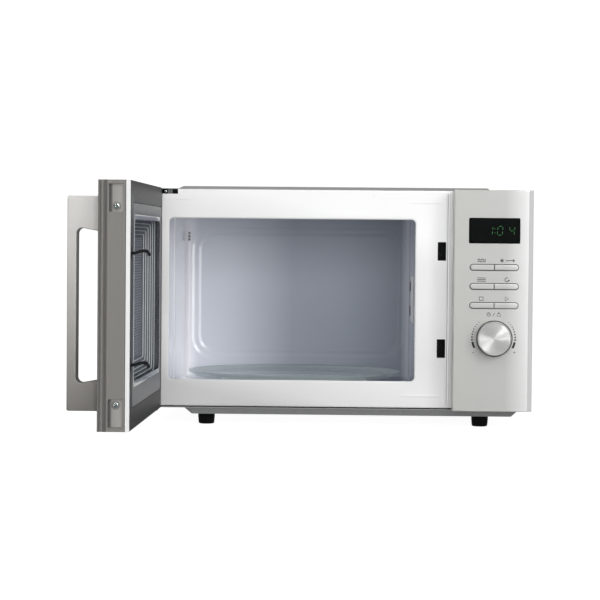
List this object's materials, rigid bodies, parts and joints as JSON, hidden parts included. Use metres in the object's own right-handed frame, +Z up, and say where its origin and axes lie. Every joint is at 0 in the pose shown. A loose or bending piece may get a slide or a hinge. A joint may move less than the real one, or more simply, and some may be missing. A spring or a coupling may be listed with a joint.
{
  "type": "microwave oven",
  "caption": "Free-standing microwave oven with a side-hinged door on a bar handle, a turntable on a roller ring, push buttons, a rotary knob and its working parts inside.",
  "frame": {"origin": "middle of the whole object as seen from above, with the door open, on the surface its feet stand on", "axes": "+Z up, the front faces -Y, +X to the right seen from the front"},
  "size_m": [0.5128, 0.7108, 0.2895],
  "materials": {
    "white_enamel": "gloss white enamel",
    "cavity_enamel": "satin pale grey enamel",
    "cabinet_paint": "fine-textured grey paint",
    "zinc_steel": "zinc-coated sheet",
    "silver_moulding": "satin silver paint on moulding",
    "door_moulding": "satin warm grey",
    "cover_moulding": "smooth grey",
    "window_film": "glossy tinted film",
    "clear_glass": "smooth tinted",
    "tray_glass": "smooth clear",
    "screen_black": "perforated, black",
    "handle_metal": "satin",
    "knob_metal": "turned face",
    "foot_rubber": "matt black",
    "black_plastic": "black moulding",
    "display_black": "gloss black",
    "circuit_board": "green board",
    "spring_steel": "bright wire",
    "laminated_iron": "laminations",
    "mica_sheet": "mica",
    "white_plastic": "natural moulding",
    "bare_aluminium": "plain"
  },
  "bodies": {
    "body": {"front_frame": "white_enamel", "oven_cavity": "cavity_enamel", "outer_cabinet": "cabinet_paint", "rear_panel": "zinc_steel", "base_plate": "zinc_steel", "foot_front_left": "foot_rubber", "foot_front_right": "foot_rubber", "foot_rear_left": "foot_rubber", "foot_rear_right": "foot_rubber", "upper_hinge": "zinc_steel", "lower_hinge": "zinc_steel", "control_panel": "silver_moulding", "display_window": "display_black", "display_module": "display_black", "control_board": "circuit_board", "encoder_body": "zinc_steel", "latch_housing": "black_plastic", "primary_switch": "black_plastic", "secondary_switch": "black_plastic", "monitor_switch": "black_plastic", "turntable_motor": "zinc_steel", "waveguide": "zinc_steel", "waveguide_cover": "mica_sheet", "magnetron": "laminated_iron", "power_transformer": "laminated_iron", "capacitor": "bare_aluminium", "capacitor_clamp": "zinc_steel", "high_voltage_diode": "black_plastic", "fan_motor": "laminated_iron", "fan_shroud": "black_plastic", "cavity_lamp": "white_plastic", "noise_filter": "circuit_board", "thermal_cutout": "black_plastic", "cord_gland": "black_plastic"},
    "door": {"door_frame": "door_moulding", "door_glass": "clear_glass", "door_screen": "screen_black", "door_cover": "cover_moulding", "door_film": "window_film", "door_handle": "handle_metal", "latch_spring": "spring_steel"},
    "latch": {"latch_slider": "black_plastic"},
    "mode_key": {"button_mode": "silver_moulding"},
    "defrost_key": {"button_defrost": "silver_moulding"},
    "menu_key": {"button_menu": "silver_moulding"},
    "reheat_key": {"button_reheat": "silver_moulding"},
    "stop_key": {"button_stop": "silver_moulding"},
    "start_key": {"button_start": "silver_moulding"},
    "knob": {"control_knob": "knob_metal", "encoder_shaft": "bare_aluminium"},
    "coupler": {"drive_coupler": "white_plastic"},
    "tray": {"glass_tray": "tray_glass"},
    "ring": {"roller_ring": "white_plastic"},
    "roller_1": {"tray_roller_1": "white_plastic"},
    "roller_2": {"tray_roller_2": "white_plastic"},
    "roller_3": {"tray_roller_3": "white_plastic"},
    "fan": {"fan_blade": "black_plastic"},
    "primary_pin": {"primary_plunger": "black_plastic"},
    "secondary_pin": {"secondary_plunger": "black_plastic"},
    "monitor_pin": {"monitor_plunger": "black_plastic"}
  },
  "joints": [
    {"name": "door_hinge", "type": "hinge", "parent": "body", "child": "door", "pos_m": [-0.19688, 0.00286, 0.155], "axis": [0, 0, -1], "range_deg": [-90.6, 7.4]},
    {"name": "latch_lift", "type": "slide", "parent": "door", "child": "latch", "axis": [0, 0, 1], "range_m": [0, 0.004], "stiffness_N_per_m": 250, "springref_m": -0.004, "deforming": ["latch_spring"]},
    {"name": "mode_press", "type": "slide", "parent": "body", "child": "mode_key", "axis": [0, 1, 0], "range_m": [0, 0.0012], "stiffness_N_per_m": 800, "springref_m": -0.0004},
    {"name": "defrost_press", "type": "slide", "parent": "body", "child": "defrost_key", "axis": [0, 1, 0], "range_m": [0, 0.0012], "stiffness_N_per_m": 800, "springref_m": -0.0004},
    {"name": "menu_press", "type": "slide", "parent": "body", "child": "menu_key", "axis": [0, 1, 0], "range_m": [0, 0.0012], "stiffness_N_per_m": 800, "springref_m": -0.0004},
    {"name": "reheat_press", "type": "slide", "parent": "body", "child": "reheat_key", "axis": [0, 1, 0], "range_m": [0, 0.0012], "stiffness_N_per_m": 800, "springref_m": -0.0004},
    {"name": "stop_press", "type": "slide", "parent": "body", "child": "stop_key", "axis": [0, 1, 0], "range_m": [0, 0.0012], "stiffness_N_per_m": 800, "springref_m": -0.0004},
    {"name": "start_press", "type": "slide", "parent": "body", "child": "start_key", "axis": [0, 1, 0], "range_m": [0, 0.0012], "stiffness_N_per_m": 800, "springref_m": -0.0004},
    {"name": "knob_turn", "type": "hinge", "parent": "body", "child": "knob", "pos_m": [0.21027, -0.02814, 0.1111], "axis": [0, -1, 0], "continuous": true},
    {"name": "turntable_spin", "type": "hinge", "parent": "body", "child": "coupler", "pos_m": [-0.02993, 0.16751, 0.046], "axis": [0, 0, 1], "continuous": true},
    {"name": "tray_lift", "type": "slide", "parent": "coupler", "child": "tray", "axis": [0, 0, 1], "range_m": [0, 0.08]},
    {"name": "ring_spin", "type": "hinge", "parent": "body", "child": "ring", "pos_m": [-0.02993, 0.16751, 0.0468], "axis": [0, 0, 1], "continuous": true},
    {"name": "roller_1_spin", "type": "hinge", "parent": "ring", "child": "roller_1", "pos_m": [0.05329, 0.21556, 0.0468], "axis": [0.866, 0.5, 0], "continuous": true},
    {"name": "roller_2_spin", "type": "hinge", "parent": "ring", "child": "roller_2", "pos_m": [-0.11316, 0.21556, 0.0468], "axis": [-0.866, 0.5, 0], "continuous": true},
    {"name": "roller_3_spin", "type": "hinge", "parent": "ring", "child": "roller_3", "pos_m": [-0.02993, 0.07141, 0.0468], "axis": [0, -1, 0], "continuous": true},
    {"name": "fan_spin", "type": "hinge", "parent": "body", "child": "fan", "pos_m": [0.18737, 0.32556, 0.205], "axis": [0, 1, 0], "continuous": true},
    {"name": "primary_press", "type": "slide", "parent": "body", "child": "primary_pin", "axis": [0, 1, 0], "range_m": [0, 0.0015], "stiffness_N_per_m": 600, "springref_m": -0.0004},
    {"name": "secondary_press", "type": "slide", "parent": "body", "child": "secondary_pin", "axis": [0, 1, 0], "range_m": [0, 0.0015], "stiffness_N_per_m": 600, "springref_m": -0.0004},
    {"name": "monitor_press", "type": "slide", "parent": "body", "child": "monitor_pin", "axis": [0, 1, 0], "range_m": [0, 0.0015], "stiffness_N_per_m": 600, "springref_m": -0.0004}
  ],
  "couplings": [
    {"joint": "ring_spin", "follows": "turntable_spin", "ratio": 0.5},
    {"joint": "roller_1_spin", "follows": "turntable_spin", "ratio": -8.7364},
    {"joint": "roller_2_spin", "follows": "turntable_spin", "ratio": -8.7364},
    {"joint": "roller_3_spin", "follows": "turntable_spin", "ratio": -8.7364}
  ]
}
